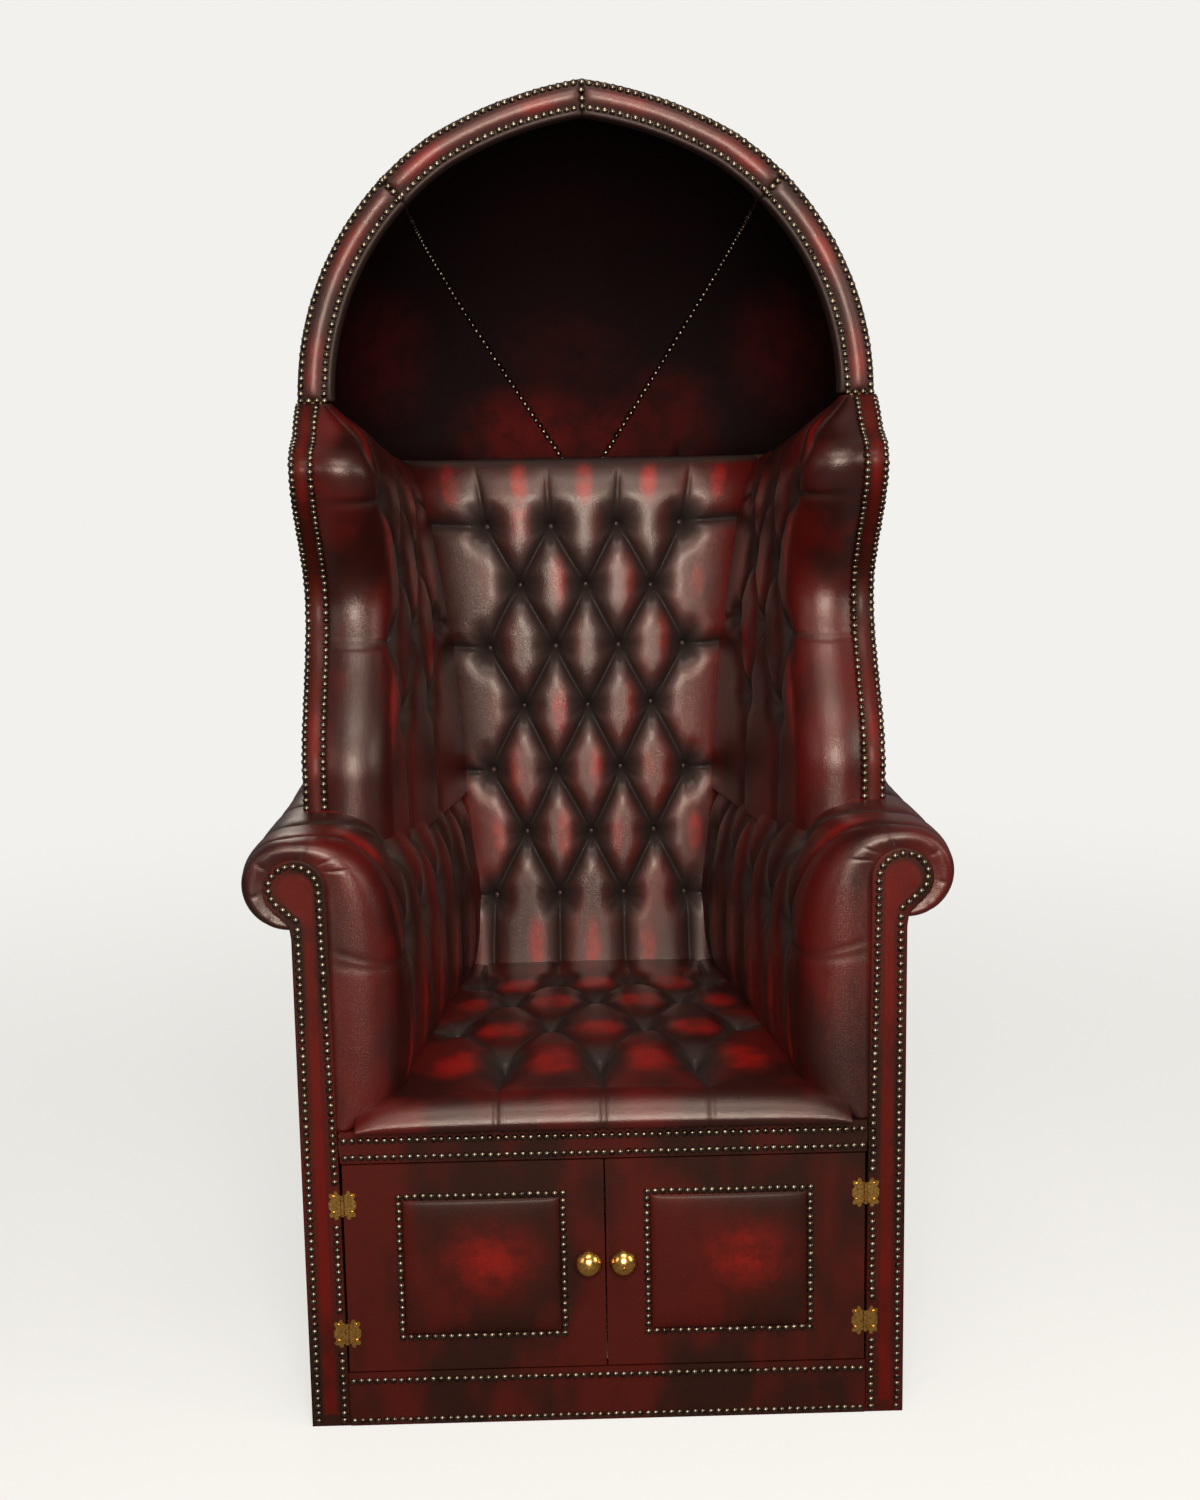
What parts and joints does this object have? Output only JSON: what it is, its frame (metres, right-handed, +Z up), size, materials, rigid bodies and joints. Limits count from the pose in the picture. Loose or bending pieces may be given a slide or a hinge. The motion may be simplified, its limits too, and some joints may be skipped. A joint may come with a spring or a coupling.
{
  "type": "hall porter chair",
  "caption": "Tall hooded hall porter's chair in deep-buttoned, nailed leather, with rolled arms, wings, a domed hood and a cupboard with two hinged doors under the seat.",
  "frame": {"origin": "on the floor under the middle of the chair's bounding box", "axes": "+Z up, -Y towards the sitter's front (the doors), +X to the right seen from the front"},
  "size_m": [0.87, 0.79, 1.68],
  "materials": {
    "oxblood_leather": "hand-rubbed, waxed",
    "hood_lining_leather": "dark, waxed",
    "beech_frame": "planed, bare",
    "birch_plywood": "sanded, bare",
    "jute_webbing": "woven",
    "polished_brass": "polished, lacquered",
    "zinc_steel": "zinc plated",
    "catch_plastic": "moulded"
  },
  "bodies": {
    "chair": {"arm_facing_left": "oxblood_leather", "arm_facing_right": "oxblood_leather", "arm_pad_left": "oxblood_leather", "arm_pad_right": "oxblood_leather", "arm_rail_left": "beech_frame", "arm_rail_right": "beech_frame", "back_buttons": "oxblood_leather", "back_frame": "beech_frame", "back_pad": "oxblood_leather", "back_shell": "birch_plywood", "back_webbing": "jute_webbing", "cupboard_back": "birch_plywood", "cupboard_ceiling": "birch_plywood", "cupboard_floor": "birch_plywood", "hinge_frame_leaves": "polished_brass", "hinge_frame_screws": "polished_brass", "hinge_pins": "polished_brass", "hood_cover": "oxblood_leather", "hood_hoop": "beech_frame", "hood_lining_centre": "hood_lining_leather", "hood_lining_left": "hood_lining_leather", "hood_lining_right": "hood_lining_leather", "hood_shell": "birch_plywood", "magnet_catches": "catch_plastic", "outer_back_cover": "oxblood_leather", "outer_cover_left": "oxblood_leather", "outer_cover_right": "oxblood_leather", "plinth_rail": "oxblood_leather", "rim_roll_lower_left": "oxblood_leather", "rim_roll_lower_right": "oxblood_leather", "rim_roll_upper_left": "oxblood_leather", "rim_roll_upper_right": "oxblood_leather", "seat_buttons": "oxblood_leather", "seat_frame": "beech_frame", "seat_pad": "oxblood_leather", "seat_rail": "oxblood_leather", "seat_webbing": "jute_webbing", "side_board_left": "beech_frame", "side_board_right": "beech_frame", "side_buttons": "oxblood_leather", "wing_facing_left": "oxblood_leather", "wing_facing_right": "oxblood_leather", "wing_frame_left": "beech_frame", "wing_frame_right": "beech_frame", "wing_pad_left": "oxblood_leather", "wing_pad_right": "oxblood_leather"},
    "door_left": {"door_pad_left": "oxblood_leather", "door_panel_left": "oxblood_leather", "hinge_door_leaves_left": "polished_brass", "hinge_door_screws_left": "polished_brass", "knob_left": "polished_brass", "knob_screw_left": "zinc_steel", "strike_plate_left": "zinc_steel"},
    "door_right": {"door_pad_right": "oxblood_leather", "door_panel_right": "oxblood_leather", "hinge_door_leaves_right": "polished_brass", "hinge_door_screws_right": "polished_brass", "knob_right": "polished_brass", "knob_screw_right": "zinc_steel", "strike_plate_right": "zinc_steel"}
  },
  "joints": [
    {"name": "door_left_hinge", "type": "hinge", "parent": "chair", "child": "door_left", "pos_m": [-0.327, -0.3676, 0.2115], "axis": [0, 0, -1], "range_deg": [0, 170]},
    {"name": "door_right_hinge", "type": "hinge", "parent": "chair", "child": "door_right", "pos_m": [0.327, -0.3676, 0.2115], "axis": [0, 0, 1], "range_deg": [0, 170]}
  ]
}
